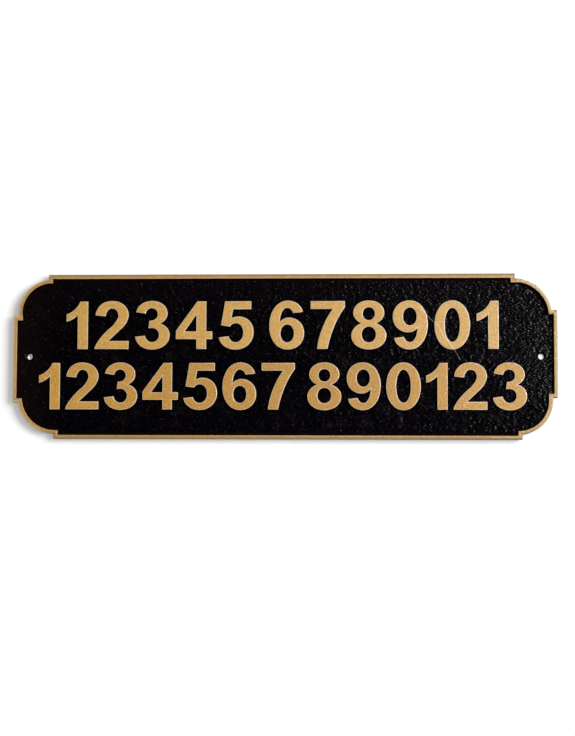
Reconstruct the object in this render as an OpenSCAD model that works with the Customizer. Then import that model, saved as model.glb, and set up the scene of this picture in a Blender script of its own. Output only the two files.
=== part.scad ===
// Cast wall sign: a flat plate with shouldered sides, quarter-round corners and a raised rim.
// The sign stands on its long edge with its back on y = 0 and its front towards -Y.
// The origin is on the back face, midway between the two screw holes.

/* [Overall size] */
// Length between the outer faces of the two end shoulders
sign_l = 508; // [420:1:620]
// Height between the outer faces of the top and bottom shoulders
sign_h = 154.5; // [130:0.5:190]
// Thickness of the plate, from its back to the sunk field
plate_t = 5.5; // [4:0.25:8]

/* [Outline] */
// Mean radius of the four quarter-round corners
corner_r = 34; // [26:1:44]
// How much smaller the upper left and lower right corners are, and how much bigger the other two
corner_diff = 1.9; // [0:0.1:3]
// Depth of the step from a shoulder down to its corner
step_d = 4.4; // [3:0.2:6]
// How far the top and bottom shoulders run on past the corners' centres
long_lap = 2.6; // [0:0.1:4]
// How far the end shoulders run on past the corners' centres
end_lap = 1.9; // [0:0.1:4]
// How far the top shoulder sits left of centre, and the bottom one right of it
long_skew = 3.1; // [0:0.1:5]
// How far the right end shoulder sits above centre, and the left one below it
end_skew = 2.3; // [0:0.1:4]

/* [Rim] */
// Mean width of the rim at the top and bottom, from the outline to the foot of its inner wall
rim_w = 4.3; // [3:0.1:6]
// Width of the rim along the two ends
end_rim_w = 3.6; // [3:0.1:6]
// How far the sunk field sits low in the outline
field_drop = 0.5; // [0:0.1:0.8]
// Height of the rim above the field
rim_h = 3; // [2:0.1:5]
// Width of the rounding on the rim's outer edge
crown_w = 1.4; // [0.6:0.1:1.4]
// Depth of the rounding on the rim's outer edge
crown_d = 0.7; // [0.4:0.1:1.2]
// Size of the rounding on the rim's inner edge
inner_round = 0.4; // [0.2:0.1:0.6]
// Size of the cove between the rim's inner wall and the field
cove = 0.6; // [0.3:0.1:0.8]

/* [Casting] */
// Draft angle of the outer walls, in degrees
outer_draft = 1; // [0.5:0.5:4]
// Draft angle of the rim's inner wall, in degrees
inner_draft = 5; // [1:0.5:8]
// Bevel dressed on the edge of the back
back_bevel = 0.5; // [0.2:0.1:1]

/* [Screw holes] */
// Distance from each end of the sign to the centre of its screw hole
hole_inset = 14.75; // [13:0.25:24]
// Diameter of the screw holes
hole_d = 5.6; // [4:0.1:7]
// Diameter of the countersink at the field
sink_d = 8.4; // [7.5:0.1:12]

/* [Hidden] */
$fn = 96;

half_l = sign_l / 2;
half_h = sign_h / 2;
front = plate_t + rim_h;

// Half lengths of the shoulders, from the centre of a corner of mean radius
long_half = half_l - step_d - corner_r + long_lap;
end_half = half_h - step_d - corner_r + end_lap;

hole_x = half_l - hole_inset;
// The countersink is a right-angled cone
sink_depth = (sink_d - hole_d) / 2;

// Spare length by which a cutting solid runs past what it cuts
past = 1;
// Number of flats that stand for each small rounding
round_steps = 4;

black_paint = [0.06, 0.055, 0.06];
gold_paint = [0.79, 0.61, 0.34];

// An edge section is a list of [inset from the outline, height above the back], from low to high

// Inset of the drafted outer wall at a height, from the top of the back bevel
function outer_wall(height) = (height - back_bevel) * tan(outer_draft);

// Inset of the rim's inner wall at a height
function inner_wall(height) = rim_w - (height - plate_t) * tan(inner_draft);

// Points of a quarter round that rises from [0, 0] to [width, depth]
function rounding(width, depth) = [
    for (i = [0 : round_steps]) let (a = 90 * i / round_steps) [width * (1 - cos(a)), depth * sin(a)]
];

// The plate's edge: back bevel, then the drafted wall
plate_edge = [
    [back_bevel, 0],
    [0, back_bevel],
    [outer_wall(plate_t), plate_t]
];

// The rim's outer edge: drafted wall, then the rounded crown
crown_foot = front - crown_d;
rim_edge = concat(
    [[outer_wall(plate_t), plate_t]],
    [for (p = rounding(crown_w, crown_d)) [outer_wall(crown_foot) + p[0], crown_foot + p[1]]]
);

// The sunk field's edge: cove, drafted inner wall, then the small rounding up to the land
cove_toe = inner_wall(plate_t + cove) + cove;
land_foot = front - inner_round;
field_edge = concat(
    [[cove_toe, plate_t - past]],
    [for (p = rounding(cove, cove)) [cove_toe - p[1], plate_t + p[0]]],
    [for (p = rounding(inner_round, inner_round)) [inner_wall(land_foot) - p[0], land_foot + p[1]]],
    [[inner_wall(land_foot) - inner_round, front + past]]
);

// Half of a section across the sign, out to a reach
function half_section(reach, edge) = concat(
    [[0, edge[0][1]]],
    [for (p = edge) [reach - p[0], p[1]]],
    [[0, edge[len(edge) - 1][1]]]
);

// Whole section across the sign, out to the same reach on both sides
function whole_section(reach, edge) = concat(
    [for (p = edge) [reach - p[0], p[1]]],
    [for (i = [len(edge) - 1 : -1 : 0]) [edge[i][0] - reach, edge[i][1]]]
);

// Draws a section that runs along X, from one place to another
module along_x(from, to) {
    translate([from, 0, 0]) rotate([90, 0, 90]) linear_extrude(to - from) children();
}

// Draws a section that runs along Y, from one place to another
module along_y(from, to) {
    translate([0, to, 0]) rotate([90, 0, 0]) linear_extrude(to - from) children();
}

// Quarter of a slab, with its round corner in the first quadrant
module slab_quarter(width, height, radius, edge) {
    x = width - radius;
    y = height - radius;
    along_x(-past, x) polygon(half_section(height, edge));
    along_y(-past, y) polygon(half_section(width, edge));
    translate([x, y, 0]) rotate_extrude(angle = 90) polygon(half_section(radius, edge));
}

// Slab with quarter-round corners, at the depth of the steps
module rounded_slab(edge) {
    across = half_l - step_d;
    up = half_h - step_d;
    for (turn = [0, 180]) rotate([0, 0, turn]) {
        slab_quarter(across, up, corner_r + corner_diff, edge);
        rotate([0, 0, 90]) slab_quarter(up, across, corner_r - corner_diff, edge);
    }
}

// Block that stands a shoulder out from the slab, with its edge mitred at both ends
module shoulder(half_length, reach, edge) {
    intersection() {
        along_x(-half_length - past, half_length + past) polygon(half_section(reach, edge));
        along_y(-past, reach + past) polygon(whole_section(half_length, edge));
    }
}

// Whole outline of the sign, lying on its back, with one edge section all round
module shouldered_slab(edge, end_gain = 0) {
    rounded_slab(edge);
    for (side = [1, -1]) {
        translate([-side * long_skew, 0, 0]) rotate([0, 0, 90 - 90 * side])
            shoulder(long_half, half_h, edge);
        translate([0, side * end_skew, 0]) rotate([0, 0, -90 * side])
            shoulder(end_half, half_l + end_gain, edge);
    }
}

// Screw hole with its countersink in the field
module screw_hole() {
    translate([0, 0, -past]) cylinder(d = hole_d, h = plate_t + 2 * past);
    translate([0, 0, plate_t - sink_depth])
        cylinder(d1 = hole_d, d2 = sink_d + 2 * past, h = sink_depth + past);
}

// Turns a piece that lies on its back upright, front towards -Y
module upright() {
    rotate([90, 0, 0]) children();
}

module cast_plate() {
    color(black_paint) upright() difference() {
        shouldered_slab(plate_edge);
        for (x = [-hole_x, hole_x]) translate([x, 0, 0]) screw_hole();
    }
}

module raised_rim() {
    color(gold_paint) upright() difference() {
        shouldered_slab(rim_edge);
        translate([0, -field_drop, 0]) shouldered_slab(field_edge, rim_w - end_rim_w);
    }
}

cast_plate();
raised_rim();
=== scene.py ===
# Looks of a cast wall sign: painted plate and rim, raised digits, a casting vein, and a plain white setting
import math

import bpy
from mathutils import Euler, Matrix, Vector


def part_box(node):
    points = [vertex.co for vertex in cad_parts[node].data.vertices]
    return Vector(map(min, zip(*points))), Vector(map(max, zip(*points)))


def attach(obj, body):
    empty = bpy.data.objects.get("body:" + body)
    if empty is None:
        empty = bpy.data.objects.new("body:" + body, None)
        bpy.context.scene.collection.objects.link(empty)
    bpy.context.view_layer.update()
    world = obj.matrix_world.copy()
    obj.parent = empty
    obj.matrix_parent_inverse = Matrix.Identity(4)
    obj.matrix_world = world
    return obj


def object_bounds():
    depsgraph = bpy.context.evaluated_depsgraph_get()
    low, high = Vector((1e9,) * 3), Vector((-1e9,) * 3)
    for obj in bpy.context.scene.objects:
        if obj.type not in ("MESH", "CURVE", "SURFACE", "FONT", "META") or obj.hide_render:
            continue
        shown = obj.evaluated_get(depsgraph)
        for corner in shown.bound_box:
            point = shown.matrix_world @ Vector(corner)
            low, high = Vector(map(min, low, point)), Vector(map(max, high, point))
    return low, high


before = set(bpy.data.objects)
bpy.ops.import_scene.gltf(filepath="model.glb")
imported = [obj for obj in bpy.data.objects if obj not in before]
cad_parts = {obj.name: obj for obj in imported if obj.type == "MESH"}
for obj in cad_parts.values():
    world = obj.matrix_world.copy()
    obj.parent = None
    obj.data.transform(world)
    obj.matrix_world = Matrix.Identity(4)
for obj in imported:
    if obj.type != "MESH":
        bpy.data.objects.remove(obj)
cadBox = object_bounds()
mm = 0.001

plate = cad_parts["cast_plate"]
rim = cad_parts["raised_rim"]
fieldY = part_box("cast_plate")[0].y  # the sunk field; the front faces -Y
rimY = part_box("raised_rim")[0].y  # top of the rim
print("frame loaded, field at", round(fieldY / mm, 2), "mm and rim at", round(rimY / mm, 2), "mm")


# Picking, adding and closing pieces

def pickOnly(*pieces):
    bpy.ops.object.select_all(action="DESELECT")
    for piece in pieces:
        piece.select_set(True)
    bpy.context.view_layer.objects.active = pieces[0]


def addPiece(name, data):
    piece = bpy.data.objects.new(name, data)
    bpy.context.collection.objects.link(piece)
    return piece


def keepPlace(piece):
    pickOnly(piece)
    bpy.ops.object.transform_apply(location=True, rotation=True, scale=True)


def toMesh(piece):
    pickOnly(piece)
    bpy.ops.object.convert(target="MESH")
    return bpy.context.object


def closeSeams(nearness):  # of the active piece, whose faces are turned outwards as well
    bpy.ops.object.mode_set(mode="EDIT")
    bpy.ops.mesh.select_all(action="SELECT")
    bpy.ops.mesh.remove_doubles(threshold=nearness)
    bpy.ops.mesh.normals_make_consistent(inside=False)
    bpy.ops.object.mode_set(mode="OBJECT")


# Shader helpers

def srgb(red, green, blue):  # a colour as a paint program shows it, 0 to 255
    def linear(level):
        level = level / 255
        return level / 12.92 if level <= 0.04045 else ((level + 0.055) / 1.055) ** 2.4
    return (linear(red), linear(green), linear(blue), 1)


class Wire:
    # one output socket, so that sums and 1 - mask can be written plainly
    def __init__(self, graph, socket):
        self.graph = graph
        self.socket = socket

    def maths(self, operation, *others):
        return self.graph.node("ShaderNodeMath", {"operation": operation}, dict(enumerate((self, *others))))

    def __add__(self, other):
        return self.maths("ADD", other)

    def __sub__(self, other):
        return self.maths("SUBTRACT", other)

    def __rsub__(self, other):
        return (self * -1) + other

    def __mul__(self, other):
        return self.maths("MULTIPLY", other)

    __radd__ = __add__
    __rmul__ = __mul__


class Graph:
    # the nodes of one material, or of the world
    def __init__(self, owner):
        owner.use_nodes = True
        self.owner = owner
        self.tree = owner.node_tree
        self.tree.nodes.clear()
        self.place = self.node("ShaderNodeTexCoord", output="Object")

    def node(self, kind, settings=None, values=None, output=0):
        made = self.tree.nodes.new(kind)
        for name, value in (settings or {}).items():
            setattr(made, name, value)
        for name, value in (values or {}).items():
            if isinstance(value, Wire):
                self.tree.links.new(value.socket, made.inputs[name])
            else:
                made.inputs[name].default_value = value
        return Wire(self, made.outputs[output]) if made.outputs else None

    def axis(self, letter):
        return self.node("ShaderNodeSeparateXYZ", values={0: self.place}, output=letter)

    def distance(self, at):
        values = {0: self.place, 1: at}
        return self.node("ShaderNodeVectorMath", {"operation": "DISTANCE"}, values, output="Value")

    def rise(self, value, low, high):  # 0 below low, 1 above high; a low above high falls instead
        return self.node("ShaderNodeMapRange", {"interpolation_type": "SMOOTHSTEP"},
                         {"Value": value, "From Min": low, "From Max": high})

    def along(self, letter, span):  # rises from the first end of the span to the other
        return self.rise(self.axis(letter), *span)

    def noise(self, width, detail=0, rough=0.5, place=None):  # width of one blotch, in metres
        values = {"Vector": place or self.place, "Scale": 1 / width, "Detail": detail, "Roughness": rough}
        return self.node("ShaderNodeTexNoise", values=values)

    def patches(self, width, edge, detail=0, rough=0.5):  # 1 inside the blotches, 0 between them
        return self.rise(self.noise(width, detail, rough), *edge)

    def drift(self, width, amount, detail=0):  # wanders about 0, by half the amount each way
        return (self.noise(width, detail) - 0.5) * amount

    def blend(self, mask, first, second):
        return self.node("ShaderNodeMix", {"data_type": "RGBA"}, {0: mask, 6: first, 7: second}, output=2)

    def mix(self, mask, first, second):  # of two shaders
        return self.node("ShaderNodeMixShader", values={0: mask, 1: first, 2: second})

    def bump(self, height):  # in metres
        return self.node("ShaderNodeBump", values={"Height": height, "Distance": 1})

    def seen(self):  # 1 for the camera, gloss and glass, 0 for the light that falls on things
        camera, gloss, glass = (self.node("ShaderNodeLightPath", output="Is " + kind + " Ray")
                                for kind in ("Camera", "Glossy", "Transmission"))
        return camera + gloss + glass

    def surface(self, shader):
        kind = "World" if isinstance(self.owner, bpy.types.World) else "Material"
        self.node("ShaderNodeOutput" + kind, values={"Surface": shader})
        return self.owner


# The sign's outline, for the paints and for the shadow's edge on the wall

outline = {
    "step": 4.4 * mm,
    "cornerRadius": (35.9 * mm, 32.1 * mm),  # of the upper right corner and of the upper left one
    "shoulderHalf": (218.2 * mm, 40.75 * mm),
    "shoulderOff": (-3.1 * mm, 2.3 * mm),  # of the top one across and of the right-hand one up
}


def pastOutline(paint):  # distance outside the outline, less than 0 inside it
    x = paint.axis("X")
    z = paint.axis("Z")
    halfX, _, halfZ = cadBox[1]
    right = x.maths("SIGN")
    top = z.maths("SIGN")
    big, small = outline["cornerRadius"]
    radius = right * top * ((big - small) / 2) + (big + small) / 2
    intoX = x.maths("ABSOLUTE") + radius - (halfX - outline["step"])
    intoZ = z.maths("ABSOLUTE") + radius - (halfZ - outline["step"])
    roundX = intoX.maths("MAXIMUM", 0)
    roundZ = intoZ.maths("MAXIMUM", 0)
    rounded = (roundX * roundX + roundZ * roundZ).maths("SQRT")
    slab = rounded + intoX.maths("MAXIMUM", intoZ).maths("MINIMUM", 0) - radius
    longHalf, endHalf = outline["shoulderHalf"]
    longOff, endOff = outline["shoulderOff"]
    longX = (x - top * longOff).maths("ABSOLUTE") - longHalf
    longSide = longX.maths("MAXIMUM", z.maths("ABSOLUTE") - halfZ)
    endZ = (z - right * endOff).maths("ABSOLUTE") - endHalf
    endSide = endZ.maths("MAXIMUM", x.maths("ABSOLUTE") - halfX)
    return slab.maths("MINIMUM", longSide).maths("MINIMUM", endSide)


# 1 inside any of the places, given as across, up and radius; these and the soft edge are in millimetres
def spots(paint, places, level, soft=0.25):
    inside = None
    for across, up, radius in places:
        away = paint.distance((across * mm, level, up * mm))
        spot = paint.rise(away, (radius + soft) * mm, (radius - soft) * mm)
        inside = inside.maths("MAXIMUM", spot) if inside else spot
    return inside


# Sand-cast grain under the black: two sizes of bump, coarsest along the top and at the right end

grain = {
    "width": 1.15 * mm,
    "depth": 0.54 * mm,
    "fineWidth": 0.9 * mm,
    "fineDepth": 0.36 * mm,
    "squash": (0.45, 1, 1.1),  # makes it wider than high, since light from the side draws it out upwards
    "least": 0.6,  # at the bottom; 1 gives the depths above
    "addedAtTop": 0.3,
    "bottomToTop": (-70 * mm, 70 * mm),
    "addedAtRight": 0.06,
    "addedMidRight": 0.48,  # and halfway up that end
    "rightEnd": (205 * mm, 245 * mm),
    "midHeight": (52 * mm, 26 * mm),  # off the centre line, to where it counts in full
    "uneven": ({"width": 30 * mm, "amount": 0.3, "detail": 2}, {"width": 4 * mm, "amount": 1}),
}


def halfwayUp(paint):
    return paint.rise(paint.axis("Z").maths("ABSOLUTE"), *grain["midHeight"])


def grainHeight(paint):
    atRight = halfwayUp(paint) * grain["addedMidRight"] + grain["addedAtRight"]
    coarse = paint.along("Z", grain["bottomToTop"]) * grain["addedAtTop"] + grain["least"]
    coarse = coarse + paint.along("X", grain["rightEnd"]) * atRight
    for unevenness in grain["uneven"]:
        coarse = coarse + paint.drift(**unevenness)
    values = {0: paint.place, 1: grain["squash"]}
    squashed = paint.node("ShaderNodeVectorMath", {"operation": "MULTIPLY"}, values)
    rough = paint.noise(grain["width"], place=squashed) * grain["depth"]
    fine = paint.noise(grain["fineWidth"], place=squashed) * grain["fineDepth"]
    return (rough + fine) * coarse


# Black paint: gloss on the field, dull in patches and paler along the top as painted sheen, a brown wash on
# the back, and dull with painted shade along the rim's foot

blackPaint = {
    "deep": srgb(3, 1, 4),
    "dull": srgb(15, 10, 13),  # where the gloss has gone off a little in patches; along the top it is laid on as painted sheen
    "dullPatches": {"width": 9 * mm, "edge": (0.5, 0.72), "detail": 4, "rough": 0.65},
    "paintedSheenTop": (30 * mm, 75 * mm),
    "paintedSheenTopShare": 0.4,
    "brown": srgb(18, 10, 9),  # at the left end
    "brownEnd": (-205 * mm, -245 * mm),
    "brownShare": 0.7,
    "speck": srgb(46, 41, 46),
    "specks": {"width": 1.7 * mm, "edge": (0.68, 0.78)},
    "speckShare": 0.5,
    "scuffed": srgb(156, 138, 128),
    "scuffs": ((216.4, 66.6, 0.6), (218, 66.3, 0.6), (227.6, 61.8, 0.7), (229.4, 60.8, 0.8),
               (230.8, 59.6, 0.8), (233.4, 57.7, 0.5), (224, -27.8, 0.4), (-206.9, -72.3, 0.5)),
    "scuffPatches": {"width": 1.3 * mm, "edge": (0.4, 0.56), "detail": 1},
    "back": (-0.6 * mm, -0.3 * mm),  # the depth at which the back's paint takes over
    "backBrown": srgb(112, 80, 60),
    "backPatches": {"width": 45 * mm, "edge": (0.36, 0.66), "detail": 8, "rough": 0.72},
    "roughness": 0.21,
    "roughnessAdded": {"dull": 0.04, "back": 0.3, "rightEnd": 0.06},
    "rightEnd": (195 * mm, 240 * mm),
}


def blackCoat(paint):
    look = blackPaint
    back = paint.along("Y", look["back"])
    # painted sheen: the black turns paler towards the top
    paintedSheenTop = paint.along("Z", look["paintedSheenTop"]) * look["paintedSheenTopShare"]
    dull = paint.patches(**look["dullPatches"]).maths("MAXIMUM", paintedSheenTop)
    colour = paint.blend(dull, look["deep"], look["dull"])
    colour = paint.blend(paint.along("X", look["brownEnd"]) * look["brownShare"], colour, look["brown"])
    colour = paint.blend(paint.patches(**look["backPatches"]) * back, colour, look["backBrown"])
    colour = paint.blend(paint.patches(**look["specks"]) * look["speckShare"], colour, look["speck"])
    scuffed = spots(paint, look["scuffs"], fieldY) * paint.patches(**look["scuffPatches"])
    colour = paint.blend(scuffed, colour, look["scuffed"])
    added = look["roughnessAdded"]
    rightEnd = paint.along("X", look["rightEnd"]) * halfwayUp(paint)
    roughness = dull * added["dull"] + back * added["back"] + rightEnd * added["rightEnd"]
    return colour, roughness + look["roughness"], grainHeight(paint)


# Gold paint on the raised faces: mottled, with metal powder in it, and ragged where it ends on a wall

goldPaint = {
    "body": srgb(243, 189, 70),
    "deep": srgb(184, 127, 14),
    "mottle": {"width": 2.6 * mm, "edge": (0.4, 0.6), "detail": 5, "rough": 0.72},
    "mottleShare": 0.28,
    "grit": {"width": 0.72 * mm, "edge": (0.4, 0.6)},
    "gritShare": 0.65,
    "warm": srgb(248, 184, 82),
    "freckles": {"width": 0.9 * mm, "edge": (0.54, 0.64)},
    "freckleShare": 0.8,
    "rubbedHighlight": srgb(240, 215, 184),  # pale: paint worn by rubbing, with a painted highlight at the digits' edges, and painted light on the sign's outer wall
    "bumps": {"width": 1.1 * mm, "detail": 2, "rough": 0.6},
    "bumpDepth": 0.2 * mm,
    "roughness": 0.42,
    "mottleRoughness": 0.06,  # added where it is mottled
    "specular": 0.3,
    "reach": 0.5 * mm,  # how far below a top face the gold comes down a wall
    "reachOutside": 6.7 * mm,  # and down the sign's outer wall
    "ragged": {"width": 3 * mm, "amount": 0.6 * mm, "detail": 3},
    "edgeSoft": 0.12 * mm,
}

flakes = {
    "colour": (1, 1, 0.95, 1),  # the powder makes the side near the lamp paler
    "roughness": 0.45,
    "bumps": {"width": 1.3 * mm, "detail": 1},
    "bumpDepth": 0.42 * mm,
    "share": 0.145,
    "patches": {"width": 0.8 * mm, "edge": (0.4, 0.6)},
    "between": 0.45,  # how dense they are between the patches, as a part of that share
    "inPatches": 1.1,  # added in the patches
}

foot = {
    "colour": srgb(19, 8, 4),  # black without gloss along the rim and round the digits: paint pooled at the foot, and painted shade where the raised parts shade the field
    "share": 0.92,
    "below": (0.6 * mm, 1 * mm),  # how far down from a top face it starts, and where it is full
    "band": (6.9 * mm, 5.9 * mm),  # in from the outline: where it ends, and where it starts to fade
    "narrower": 2.2 * mm,  # at the right end
    "rightEnd": (212 * mm, 226 * mm),
    "front": (-4 * mm, -5 * mm),  # so that it stays off the back
}


def goldCoat(paint, lowerShade=0):
    look = goldPaint
    mottle = paint.patches(**look["mottle"])
    grit = paint.patches(**look["grit"])
    deepShare = mottle * look["mottleShare"] + grit * look["gritShare"] + lowerShade
    colour = paint.blend(deepShare, look["body"], look["deep"])
    colour = paint.blend(paint.patches(**look["freckles"]) * look["freckleShare"], colour, look["warm"])
    height = paint.noise(**look["bumps"]) * look["bumpDepth"]
    return colour, mottle * look["mottleRoughness"] + look["roughness"], height


def pastGold(paint, top, reach, soft=goldPaint["edgeSoft"]):  # 1 below the gold's ragged edge
    raggedReach = paint.drift(**goldPaint["ragged"]) + reach
    return paint.rise(paint.axis("Y") - top - raggedReach, -soft, soft)


def belowTop(paint, top):  # 1 at the foot of a wall
    return paint.rise(paint.axis("Y") - top, *foot["below"])


# bare is 1 where the black shows, and dull is 1 where that black is the foot's glossless paint and painted
# shade
def mixCoats(paint, bare, dull, gold, black, flakeShare):
    goldColour, goldRoughness, goldHeight = gold
    blackColour, blackRoughness, blackHeight = black
    covered = 1 - bare
    coat = paint.node("ShaderNodeBsdfPrincipled", values={
        "Base Color": paint.blend(bare, goldColour, blackColour),
        "Roughness": bare * blackRoughness + covered * goldRoughness,
        "Specular IOR Level": goldPaint["specular"],
        "Normal": paint.bump(bare * blackHeight + covered * goldHeight),
    })
    powder = paint.node("ShaderNodeBsdfPrincipled", values={
        "Base Color": flakes["colour"],
        "Metallic": 1,
        "Roughness": flakes["roughness"],
        "Normal": paint.bump(paint.noise(**flakes["bumps"]) * flakes["bumpDepth"]),
    })
    dense = paint.patches(**flakes["patches"]) * flakes["inPatches"] + flakes["between"]
    glossy = paint.mix(covered * dense * flakeShare, coat, powder)
    # painted shade: a dark diffuse black that takes the glints off the foot
    mattShade = paint.node("ShaderNodeBsdfDiffuse", values={"Color": foot["colour"]})
    return paint.surface(paint.mix(bare * dull * foot["share"], glossy, mattShade))


# Gold of the digits: darker on the lower row as painted shade, paler at the edges from rubbing and a painted
# highlight

digitGold = {
    "lowerRow": (3 * mm, -3 * mm),
    # painted shade: the lower row is made darker, most of all halfway along
    "lowerShade": 0.22,
    "lowerShadeMidway": 0.33,  # added halfway along
    "midway": (240 * mm, 60 * mm),  # off the middle, to where it counts in full
    "rubbedHighlightPatches": {"width": 2.4 * mm, "edge": (0.35, 0.65), "detail": 3},
    "rubbedHighlightBetween": 0.7,
    "rubbedHighlightInPatches": 0.3,  # added in the patches
    "flakesOnRubbedHighlight": 1.2,  # added there, as a part of their share
    "flakesLost": 0.3,  # on the lower row
}


def makeDigitPaint(top):
    look = digitGold
    paint = Graph(bpy.data.materials.new("gold_paint_digits"))
    lower = paint.along("Z", look["lowerRow"])
    midway = paint.rise(paint.axis("X").maths("ABSOLUTE"), *look["midway"])
    colour, roughness, height = goldCoat(paint, lower * (midway * look["lowerShadeMidway"] + look["lowerShade"]))
    patchy = paint.patches(**look["rubbedHighlightPatches"]) * look["rubbedHighlightInPatches"] + look["rubbedHighlightBetween"]
    # rubbing and a painted highlight: the digits' edges turn pale
    rubbedHighlight = paint.node("ShaderNodeAttribute", {"attribute_name": "edge"}, output="Fac") * patchy
    colour = paint.blend(rubbedHighlight, colour, goldPaint["rubbedHighlight"])
    bare = pastGold(paint, top, goldPaint["reach"])
    share = (1 - lower * look["flakesLost"]) * (rubbedHighlight * look["flakesOnRubbedHighlight"] + 1) * flakes["share"]
    return mixCoats(paint, bare, belowTop(paint, top), (colour, roughness, height), blackCoat(paint), share)


# Gold of the rim: darker on its rounded outer edge above and below, paler round the upper right corner as
# painted sheen, with a line of painted shade beside that edge

rimGold = {
    "dusty": srgb(172, 136, 86),  # it has lost some of its colour
    "dustyShare": 0.5,
    "outer": (-2.1 * mm, -1.5 * mm),  # where the rounded edge starts, as a distance outside the outline
    "outerShare": 0.75,
    "darkerEdge": srgb(158, 130, 88),  # the rounded edge above and below, darker
    "ends": (222 * mm, 244 * mm),
    "rightEdge": srgb(198, 171, 118),
    "leftEnd": (-212 * mm, -236 * mm),
    "leftEdge": srgb(240, 199, 130),
    "paintedSheenCorner": srgb(232, 214, 180),  # and round the upper right corner, nearest the lamp: painted sheen
    "sheenCornerAcross": (214 * mm, 222 * mm),
    "sheenCornerUp": (38 * mm, 46 * mm),
    # painted shade: a dark line where the rounded edge meets the flat top
    "paintedShadeLine": srgb(112, 78, 40),
    "lineIn": 1.95 * mm,  # from the outline to the middle of the line
    "lineHalf": (0.5 * mm, 0.15 * mm),
    "lineRagged": {"width": 7 * mm, "edge": (0.3, 0.55), "detail": 3},
    "lineFaint": 0.1,  # at the right end
    "lineStronger": 0.4,  # added on the rest
    "lineFades": (215 * mm, 190 * mm),
    "chipped": srgb(84, 64, 44),
    "chips": ((214.3, 76.6, 0.9), (220.7, 71.4, 0.6), (227.2, 69.8, 0.75), (234.3, 66, 0.95),
              (252.4, 42.3, 0.95), (253.6, 18, 0.6), (253.6, -7.4, 0.7), (253.7, -11, 0.6),
              (-216.1, -76.2, 0.9)),
    "chipsBelow": 0.4 * mm,  # depth of their middles below the rim's top
    # along the top the black comes up over the inner edge and leaves this much gold, less at the corners
    "goldLeft": 4.25 * mm,
    "lessAtLeft": 0.5 * mm,
    "lessAtRight": 0.85 * mm,
    "limitSoft": 0.15 * mm,
    "cornersFrom": (212 * mm, 222 * mm),
    "topFrom": (34 * mm, 42 * mm),
    "flakesLost": 0.8,  # on the outer edge
}


def makeRimPaint():
    look = rimGold
    paint = Graph(bpy.data.materials.new("gold_paint_rim"))
    outside = pastOutline(paint)
    outer = paint.rise(outside, *look["outer"])
    ends = paint.rise(paint.axis("X").maths("ABSOLUTE"), *look["ends"])
    edgeColour = paint.blend(ends, look["darkerEdge"], look["rightEdge"])
    edgeColour = paint.blend(paint.along("X", look["leftEnd"]), edgeColour, look["leftEdge"])
    paintedSheenCorner = paint.along("X", look["sheenCornerAcross"]) * paint.along("Z", look["sheenCornerUp"])
    edgeColour = paint.blend(paintedSheenCorner, edgeColour, look["paintedSheenCorner"])
    colour, roughness, height = goldCoat(paint)
    colour = paint.blend(look["dustyShare"], colour, look["dusty"])
    colour = paint.blend(outer * look["outerShare"], colour, edgeColour)
    line = paint.rise((outside + look["lineIn"]).maths("ABSOLUTE"), *look["lineHalf"])
    line = line * (paint.along("X", look["lineFades"]) * look["lineStronger"] + look["lineFaint"])
    colour = paint.blend(line * paint.patches(**look["lineRagged"]), colour, look["paintedShadeLine"])
    colour = paint.blend(spots(paint, look["chips"], rimY + look["chipsBelow"]), colour, look["chipped"])
    low, high = look["cornersFrom"]
    atLeft = paint.along("X", (-low, -high)) * look["lessAtLeft"]
    atRight = paint.along("X", (low, high)) * look["lessAtRight"]
    pastLimit = outside + look["goldLeft"] - atLeft - atRight
    over = paint.rise(pastLimit, look["limitSoft"], -look["limitSoft"]) * paint.along("Z", look["topFrom"])
    reach = outer * goldPaint["reachOutside"] + goldPaint["reach"]
    bare = pastGold(paint, rimY, reach).maths("MAXIMUM", over)
    dull = belowTop(paint, rimY).maths("MAXIMUM", over)
    share = (1 - outer * look["flakesLost"]) * flakes["share"]
    return mixCoats(paint, bare, dull, (colour, roughness, height), blackCoat(paint), share)


# Gold of the rim, carried on down the plate's outer wall: paler above and below as painted light, darker at
# the ends as painted shade

wallGold = {
    "faded": 0.85,  # towards the rim's colours
    "wall": (-0.6 * mm, -0.4 * mm),  # where the wall starts, as a distance outside the outline
    "edgeSoft": 0.3 * mm,
    "flakes": 0.2,  # as a part of their share
}


def makePlatePaint():
    look = wallGold
    paint = Graph(bpy.data.materials.new("black_gloss_paint"))
    outside = pastOutline(paint)
    ends = paint.rise(paint.axis("X").maths("ABSOLUTE"), *rimGold["ends"])
    colour, roughness, height = goldCoat(paint)
    # painted light on the wall above and below, painted shade on the wall at the ends
    colour = paint.blend(look["faded"], colour, paint.blend(ends, goldPaint["rubbedHighlight"], rimGold["darkerEdge"]))
    gilded = 1 - pastGold(paint, rimY, goldPaint["reachOutside"], look["edgeSoft"])
    bare = 1 - paint.rise(outside, *look["wall"]) * gilded
    footEnds, footFades = foot["band"]
    narrower = paint.along("X", foot["rightEnd"]) * foot["narrower"]
    dull = paint.rise(outside - narrower, -footEnds, -footFades) * paint.along("Y", foot["front"])
    share = flakes["share"] * look["flakes"]
    return mixCoats(paint, bare, dull, (colour, roughness, height), blackCoat(paint), share)


plate.material_slots[0].material = makePlatePaint()
rim.material_slots[0].material = makeRimPaint()
print("plate and rim painted")


# Raised digits, in two rows that count up from 1

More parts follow.
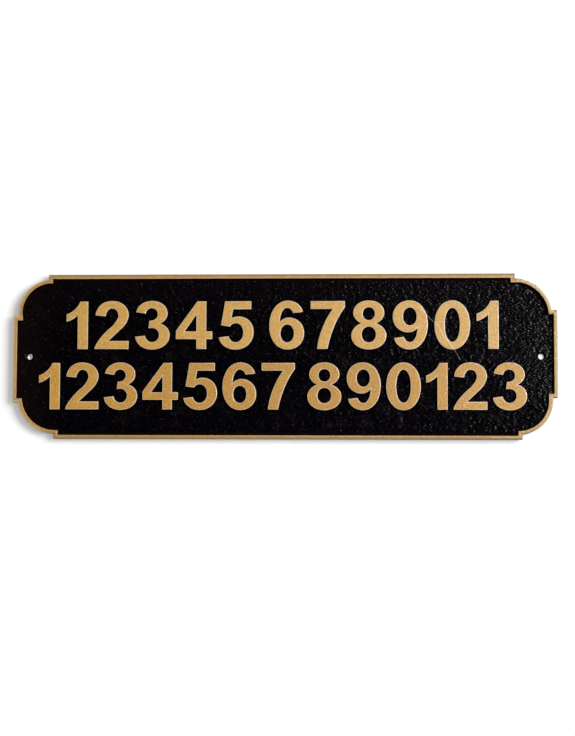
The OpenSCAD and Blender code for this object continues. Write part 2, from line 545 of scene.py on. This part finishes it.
digits = {
    "height": 2.6 * mm,  # above the field
    "rooted": 0.3 * mm,  # sunk into the plate
    # section of the wall in millimetres, inward and up from its root: paint pooled at the foot, draft,
    # rounded edge, and a margin that carries the pale edge of rubbing and painted highlight
    "section": ((-0.6, 0), (-0.55, 0.35), (-0.24, 0.42), (0, 0.65), (0.08, 1.1), (0.24, 2.55),
                (0.36, 2.8), (0.61, 2.9), (1.05, 2.9)),
    "roundness": 0.58,  # pull of a curve towards its corner point
    "curveSteps": 10,
    "merged": 0.003 * mm,
    "flat": 0.95,  # faces that point this much to the front are the flat top
    "smoothTo": math.radians(42),
    "rows": (
        {"text": "12345 678901", "ends": (-204.9 * mm, 200.7 * mm), "foot": 6.6 * mm, "cap": 45.3 * mm},
        {"text": "1234567 890123", "ends": (-230.1 * mm, 226.3 * mm), "foot": -49.9 * mm, "cap": 43.9 * mm},
    ),
    "wordGap": 3,  # in gaps between digits
    "turnBox": (0.8, 1),  # width and height, in cap heights, of the box that a 6 is turned in
}

# Outlines in cap heights. Two numbers are a point joined by a straight line,
# four are a point reached by a curve: first the corner that pulls it, then the point.
outlines = {
    "0": (
        ((0.03, 0.5), (0.03, 1.012, 0.4, 1.012), (0.77, 1.012, 0.77, 0.5), (0.77, -0.012, 0.4, -0.012),
         (0.03, -0.012, 0.03, 0.5)),
        ((0.252, 0.5), (0.252, 0.155, 0.4, 0.155), (0.548, 0.155, 0.548, 0.5), (0.548, 0.845, 0.4, 0.845),
         (0.252, 0.845, 0.252, 0.5)),
    ),
    "1": (
        ((0.335, 0), (0.56, 0), (0.56, 1), (0.385, 1), (0.3, 0.78, 0.1, 0.735), (0.1, 0.565),
         (0.155, 0.583), (0.26, 0.62, 0.335, 0.7)),
    ),
    "2": (
        ((0.76, 0), (0.76, 0.178), (0.345, 0.178), (0.6, 0.42), (0.755, 0.55, 0.755, 0.71),
         (0.755, 1.012, 0.4, 1.012), (0.07, 1.012, 0.055, 0.7), (0.275, 0.68), (0.29, 0.845, 0.4, 0.845),
         (0.53, 0.845, 0.53, 0.7), (0.53, 0.6, 0.39, 0.47), (0.06, 0.2, 0.035, 0)),
    ),
    "3": (
        ((0.04, 0.265), (0.255, 0.29), (0.275, 0.155, 0.395, 0.155), (0.535, 0.155, 0.535, 0.3),
         (0.535, 0.44, 0.385, 0.44), (0.315, 0.43), (0.335, 0.6), (0.36, 0.6), (0.505, 0.6, 0.505, 0.725),
         (0.505, 0.85, 0.385, 0.85), (0.275, 0.85, 0.265, 0.735), (0.06, 0.765), (0.09, 1.012, 0.39, 1.012),
         (0.72, 1.012, 0.72, 0.745), (0.72, 0.6, 0.575, 0.535), (0.765, 0.49, 0.765, 0.295),
         (0.765, -0.012, 0.395, -0.012), (0.065, -0.012, 0.04, 0.265)),
    ),
    "4": (
        ((0.445, 0), (0.66, 0), (0.66, 0.205), (0.785, 0.205), (0.785, 0.375), (0.66, 0.375), (0.66, 1),
         (0.465, 1), (0.02, 0.385), (0.02, 0.205), (0.445, 0.205)),
        ((0.445, 0.375), (0.215, 0.375), (0.445, 0.7)),
    ),
    "5": (
        ((0.17, 1), (0.085, 0.49), (0.275, 0.465), (0.31, 0.535, 0.395, 0.535), (0.545, 0.535, 0.545, 0.345),
         (0.545, 0.15, 0.39, 0.15), (0.275, 0.15, 0.255, 0.275), (0.04, 0.25), (0.075, -0.012, 0.39, -0.012),
         (0.77, -0.012, 0.77, 0.355), (0.77, 0.685, 0.455, 0.685), (0.38, 0.685, 0.315, 0.655),
         (0.345, 0.825), (0.72, 0.825), (0.72, 1)),
    ),
    "6": (
        ((0.74, 0.765), (0.525, 0.74), (0.505, 0.85, 0.405, 0.85), (0.275, 0.85, 0.26, 0.575),
         (0.325, 0.66, 0.44, 0.66), (0.765, 0.66, 0.765, 0.33), (0.765, -0.012, 0.415, -0.012),
         (0.035, -0.012, 0.035, 0.48), (0.035, 1.012, 0.42, 1.012), (0.7, 1.012, 0.74, 0.765)),
        ((0.275, 0.326), (0.275, 0.505, 0.41, 0.505), (0.545, 0.505, 0.545, 0.326),
         (0.545, 0.148, 0.41, 0.148), (0.275, 0.148, 0.275, 0.326)),
    ),
    "7": (
        ((0.05, 1), (0.765, 1), (0.765, 0.86), (0.5, 0.53, 0.41, 0), (0.185, 0), (0.215, 0.44, 0.5, 0.825),
         (0.05, 0.825)),
    ),
    "8": (
        ((0.235, 0.535), (0.075, 0.605, 0.075, 0.745), (0.075, 1.012, 0.4, 1.012),
         (0.725, 1.012, 0.725, 0.745), (0.725, 0.605, 0.565, 0.535), (0.765, 0.465, 0.765, 0.285),
         (0.765, -0.012, 0.4, -0.012), (0.035, -0.012, 0.035, 0.285), (0.035, 0.465, 0.235, 0.535)),
        ((0.28, 0.732), (0.28, 0.86, 0.4, 0.86), (0.52, 0.86, 0.52, 0.732), (0.52, 0.605, 0.4, 0.605),
         (0.28, 0.605, 0.28, 0.732)),
        ((0.26, 0.302), (0.26, 0.46, 0.4, 0.46), (0.54, 0.46, 0.54, 0.302), (0.54, 0.145, 0.4, 0.145),
         (0.26, 0.145, 0.26, 0.302)),
    ),
}


def halfTurn(entry):  # a 9 is a 6 turned round about the middle of its height
    return tuple(across - value for across, value in zip(digits["turnBox"] * 2, entry))


outlines["9"] = tuple(tuple(halfTurn(entry) for entry in loop) for loop in outlines["6"])


def drawLoop(curve, loop):
    ends = [Vector((*entry[-2:], 0)) for entry in loop]
    pulls = [Vector((*entry[:2], 0)) if len(entry) == 4 else None for entry in loop]
    if (ends[0] - ends[-1]).length < digits["merged"]:  # closed by a curve, which leads to the first point
        pulls[0] = pulls.pop()
        ends.pop()
    spline = curve.splines.new("BEZIER")
    spline.bezier_points.add(len(ends) - 1)
    spline.use_cyclic_u = True
    for i, point in enumerate(spline.bezier_points):
        point.co = ends[i]
        for side, pull in (("left", pulls[i]), ("right", pulls[(i + 1) % len(pulls)])):
            setattr(point, "handle_" + side + "_type", "FREE" if pull else "VECTOR")
            if pull:
                setattr(point, "handle_" + side, ends[i].lerp(pull, digits["roundness"]))


def drawSection():
    line = bpy.data.curves.new("wall_section", "CURVE")
    spline = line.splines.new("POLY")
    spline.points.add(len(digits["section"]) - 1)
    for point, (inward, up) in zip(spline.points, digits["section"]):
        point.co = (inward * mm, up * mm, 0, 1)
    return addPiece("wall_section", line)


def modelDigit(figure, cap, section):
    curve = bpy.data.curves.new("digit_" + figure, "CURVE")
    curve.dimensions = "2D"
    curve.fill_mode = "BOTH"
    curve.resolution_u = digits["curveSteps"]
    for loop in outlines[figure]:
        drawLoop(curve, [[value * cap for value in entry] for entry in loop])
    curve.bevel_mode = "OBJECT"
    curve.bevel_object = section
    piece = toMesh(addPiece("digit_" + figure, curve))
    closeSeams(digits["merged"])
    # the pale edge, from rubbing and a painted highlight: 1 at every corner of a sloping face, 0 inside the
    # flat top
    slopes = [face for face in piece.data.polygons if face.normal.z < digits["flat"]]
    sloping = {corner for face in slopes for corner in face.vertices}
    edge = piece.data.attributes.new("edge", "FLOAT", "POINT")
    edge.data.foreach_set("value", [float(i in sloping) for i in range(len(piece.data.vertices))])
    piece.rotation_euler = (math.radians(90), 0, 0)  # up from the field is -Y
    keepPlace(piece)
    bpy.ops.object.shade_smooth_by_angle(angle=digits["smoothTo"])
    return piece


def layRow(rowNumber, row, section, paint):
    figures = row["text"].replace(" ", "")
    patterns = {figure: modelDigit(figure, row["cap"], section) for figure in sorted(set(figures))}
    start = {}
    width = {}
    for figure, pattern in patterns.items():
        across = [corner.co.x for corner in pattern.data.vertices]
        start[figure] = min(across)
        width[figure] = max(across) - min(across)
    addedGaps = digits["wordGap"] - 1
    gaps = len(figures) - 1 + addedGaps * row["text"].count(" ")
    x, right = row["ends"]
    gap = (right - x - sum(width[figure] for figure in figures)) / gaps
    laid = []
    for number, figure in enumerate(row["text"], 1):
        if figure == " ":
            x += addedGaps * gap
            continue
        piece = addPiece("row%d_digit%02d" % (rowNumber, number), patterns[figure].data.copy())
        piece.location = (x - start[figure], fieldY + digits["rooted"], row["foot"])
        keepPlace(piece)
        piece.data.materials.append(paint)
        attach(piece, "root")
        laid.append(piece)
        x += width[figure] + gap
    for pattern in patterns.values():
        bpy.data.objects.remove(pattern)
    return laid


digitPaint = makeDigitPaint(fieldY - digits["height"])
wallSection = drawSection()
placedDigits = []
for rowNumber, row in enumerate(digits["rows"], 1):
    placedDigits += layRow(rowNumber, row, wallSection, digitPaint)
bpy.data.objects.remove(wallSection)
print(len(placedDigits), "digits placed")


# Casting vein: a thin raised line that runs down from the upper row over the field

vein = {
    "path": ((125.9, 46), (132.5, 39.8), (138.9, 33.1), (143.6, 29.3), (146, 24.6), (149.3, 17.5),
             (154, 12.3), (160.4, 4.2), (164.3, -3.4)),  # millimetres across and up
    "radius": 0.34 * mm,
    "roundness": 2,  # Blender's bevel resolution
    "sunk": 0.1 * mm,
    "step": 0.4 * mm,
    "droppedFrom": 2 * mm,  # in front of the rim
    "merged": 0.005 * mm,
    "bare": srgb(150, 146, 144),
    "barePatches": {"width": 2.2 * mm, "edge": (0.42, 0.56), "detail": 3},
    # painted highlight: the vein is pale where it crosses the digits
    "onGold": srgb(255, 236, 206),
    "goldFrom": (1.2 * mm, 1.6 * mm),  # above the field
    "roughness": 0.4,
    "bareRoughness": 0.15,  # added where it is bare
    "bumps": {"width": 0.5 * mm, "detail": 2},
    "bumpDepth": 0.08 * mm,
}


def makeVeinPaint():
    paint = Graph(bpy.data.materials.new("vein_paint"))
    low, high = vein["goldFrom"]
    bare = paint.patches(**vein["barePatches"])
    colour = paint.blend(bare, blackPaint["dull"], vein["bare"])
    colour = paint.blend(paint.along("Y", (fieldY - low, fieldY - high)), colour, vein["onGold"])
    return paint.surface(paint.node("ShaderNodeBsdfPrincipled", values={
        "Base Color": colour,
        "Roughness": bare * vein["bareRoughness"] + vein["roughness"],
        "Normal": paint.bump(paint.noise(**vein["bumps"]) * vein["bumpDepth"]),
    }))


def drawVein():
    curve = bpy.data.curves.new("vein_line", "CURVE")
    curve.dimensions = "3D"
    route = [Vector((x * mm, rimY - vein["droppedFrom"], z * mm)) for x, z in vein["path"]]
    points = []
    for start, end in zip(route, route[1:]):
        steps = max(1, round((end - start).length / vein["step"]))
        points += [start.lerp(end, i / steps) for i in range(steps)]
    points.append(route[-1])
    spline = curve.splines.new("POLY")
    spline.points.add(len(points) - 1)
    for point, at in zip(spline.points, points):
        point.co = (*at, 1)
    return toMesh(addPiece("casting_vein", curve))


def modelVein():
    # a copy of what it runs over, to drop its points on
    ground = [addPiece("ground", under.data.copy()) for under in (plate, *placedDigits)]
    pickOnly(*ground)
    bpy.ops.object.join()
    ground = bpy.context.object
    line = drawVein()
    drop = line.modifiers.new("drop", "SHRINKWRAP")
    drop.target = ground
    drop.wrap_method = "PROJECT"
    drop.use_project_y = True
    drop.use_positive_direction = True
    drop.offset = -vein["sunk"]
    bpy.ops.object.modifier_apply(modifier="drop")
    bpy.data.objects.remove(ground)
    bpy.ops.object.convert(target="CURVE")
    line = bpy.context.object
    line.data.bevel_depth = vein["radius"]
    line.data.bevel_resolution = vein["roundness"]
    line.data.use_fill_caps = True
    line = toMesh(line)
    closeSeams(vein["merged"])
    bpy.ops.object.shade_smooth()
    line.data.materials.clear()
    line.data.materials.append(makeVeinPaint())
    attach(line, "root")
    return line


castingVein = modelVein()
print("vein laid,", len(castingVein.data.polygons), "faces")


# Setting: a white wall behind the sign, a pale floor well below it, and a dark room that only gloss shows

setting = {
    "white": (0.9, 0.9, 0.9, 1),
    "wallSize": 6,
    "wallGap": 2.5 * mm,
    "wallGlow": 0.29,  # what the wall shows where no lamp reaches
    "wallFade": (15 * mm, 30 * mm),  # past the sign's edge, from its shaded white to plain white
    # painted light: the wall glows plain white behind the screw holes
    "litBehindHoles": ((-242.7, -0.9, 2), (238.6, -0.4, 2.5)),  # millimetres across and up, and their radius
    "litSoft": 0.8,
    "floorSize": 8,
    "floorZ": -0.45,
    "floorGlow": 0.5,
    "floorFade": (0.3, 0.9),  # the same, from the floor's middle
    "roomRadius": 9,
    "roomFelt": srgb(12, 12, 12),
    "skyLight": 0.36,  # what the surroundings give, though they look full white
}


def makePaleSurface(name, farMask, glowLevel):
    paint = Graph(bpy.data.materials.new(name))
    seen = paint.seen()
    lit = paint.node("ShaderNodeBsdfDiffuse", values={"Color": setting["white"]})
    glow = paint.node("ShaderNodeEmission", values={"Strength": seen * glowLevel})
    near = paint.node("ShaderNodeAddShader", values={0: lit, 1: glow})
    plain = paint.node("ShaderNodeEmission", values={"Strength": seen})
    front = paint.mix(farMask(paint), near, plain)
    behind = paint.node("ShaderNodeNewGeometry", output="Backfacing")
    return paint.surface(paint.mix(behind, front, paint.node("ShaderNodeBsdfTransparent")))


def pastSign(paint):
    far = paint.rise(pastOutline(paint), *setting["wallFade"])
    lit = spots(paint, setting["litBehindHoles"], setting["wallGap"], setting["litSoft"])
    return far.maths("MAXIMUM", lit)


def pastMiddle(paint):
    return paint.rise(paint.distance((0, 0, setting["floorZ"])), *setting["floorFade"])


def addSheet(name, size, at, turn, material):
    bpy.ops.object.select_all(action="DESELECT")
    bpy.ops.mesh.primitive_plane_add(size=size, location=at, rotation=turn)
    sheet = bpy.context.object
    sheet.name = name
    keepPlace(sheet)
    sheet.data.materials.append(material)
    return sheet


def hideFrom(piece, *rays):
    for ray in rays:
        setattr(piece, "visible_" + ray, False)


upright = (math.radians(90), 0, 0)  # turns a sheet's face towards -Y
wallWhite = makePaleSurface("wall_white", pastSign, setting["wallGlow"])
wall = addSheet("wall", setting["wallSize"], (0, setting["wallGap"], 0), upright, wallWhite)
hideFrom(wall, "shadow", "diffuse", "glossy")
floorPale = makePaleSurface("floor_pale", pastMiddle, setting["floorGlow"])
floor = addSheet("floor", setting["floorSize"], (0, 0, setting["floorZ"]), (0, 0, 0), floorPale)
hideFrom(floor, "glossy")

bpy.ops.object.select_all(action="DESELECT")
bpy.ops.mesh.primitive_uv_sphere_add(segments=32, ring_count=16, radius=setting["roomRadius"])
room = bpy.context.object
room.name = "dark_room"
felt = Graph(bpy.data.materials.new("dark_felt"))
felt.surface(felt.node("ShaderNodeBsdfDiffuse", values={"Color": setting["roomFelt"]}))
room.data.materials.append(felt.owner)
hideFrom(room, "camera", "diffuse", "shadow", "transmission")

lamp = {
    "at": (3.9, -4.3, 0.7),
    "size": 3,
    "watts": 345,
}

light = bpy.data.lights.new("key", "AREA")
light.shape = "SQUARE"
light.size = lamp["size"]
light.energy = lamp["watts"]
holder = addPiece("key", light)
holder.location = lamp["at"]
holder.rotation_euler = (-Vector(lamp["at"])).to_track_quat("-Z", "Y").to_euler()

world = bpy.data.worlds.new("studio")
bpy.context.scene.world = world
sky = Graph(world)
sky.surface(sky.node("ShaderNodeBackground", values={
    "Color": (1, 1, 1, 1),
    "Strength": sky.seen() * (1 - setting["skyLight"]) + setting["skyLight"],
}))

camera = {
    "aim": (4.1 * mm, rimY, -11 * mm),
    "distance": 1396.7 * mm,
    "azimuth": 2.75,  # degrees to the right of square on
    "elevation": -4.19,
    "roll": -0.2,
    "lens": 73.4,
}
turn = Euler(map(math.radians, (90 - camera["elevation"], camera["roll"], camera["azimuth"])))
eye = addPiece("camera", bpy.data.cameras.new("camera"))
eye.rotation_euler = turn
eye.location = Vector(camera["aim"]) + turn.to_matrix() @ Vector((0, 0, camera["distance"]))
eye.data.lens = camera["lens"]
bpy.context.scene.camera = eye
bpy.context.scene.view_settings.view_transform = "Standard"
print("setting, lamp and camera ready")
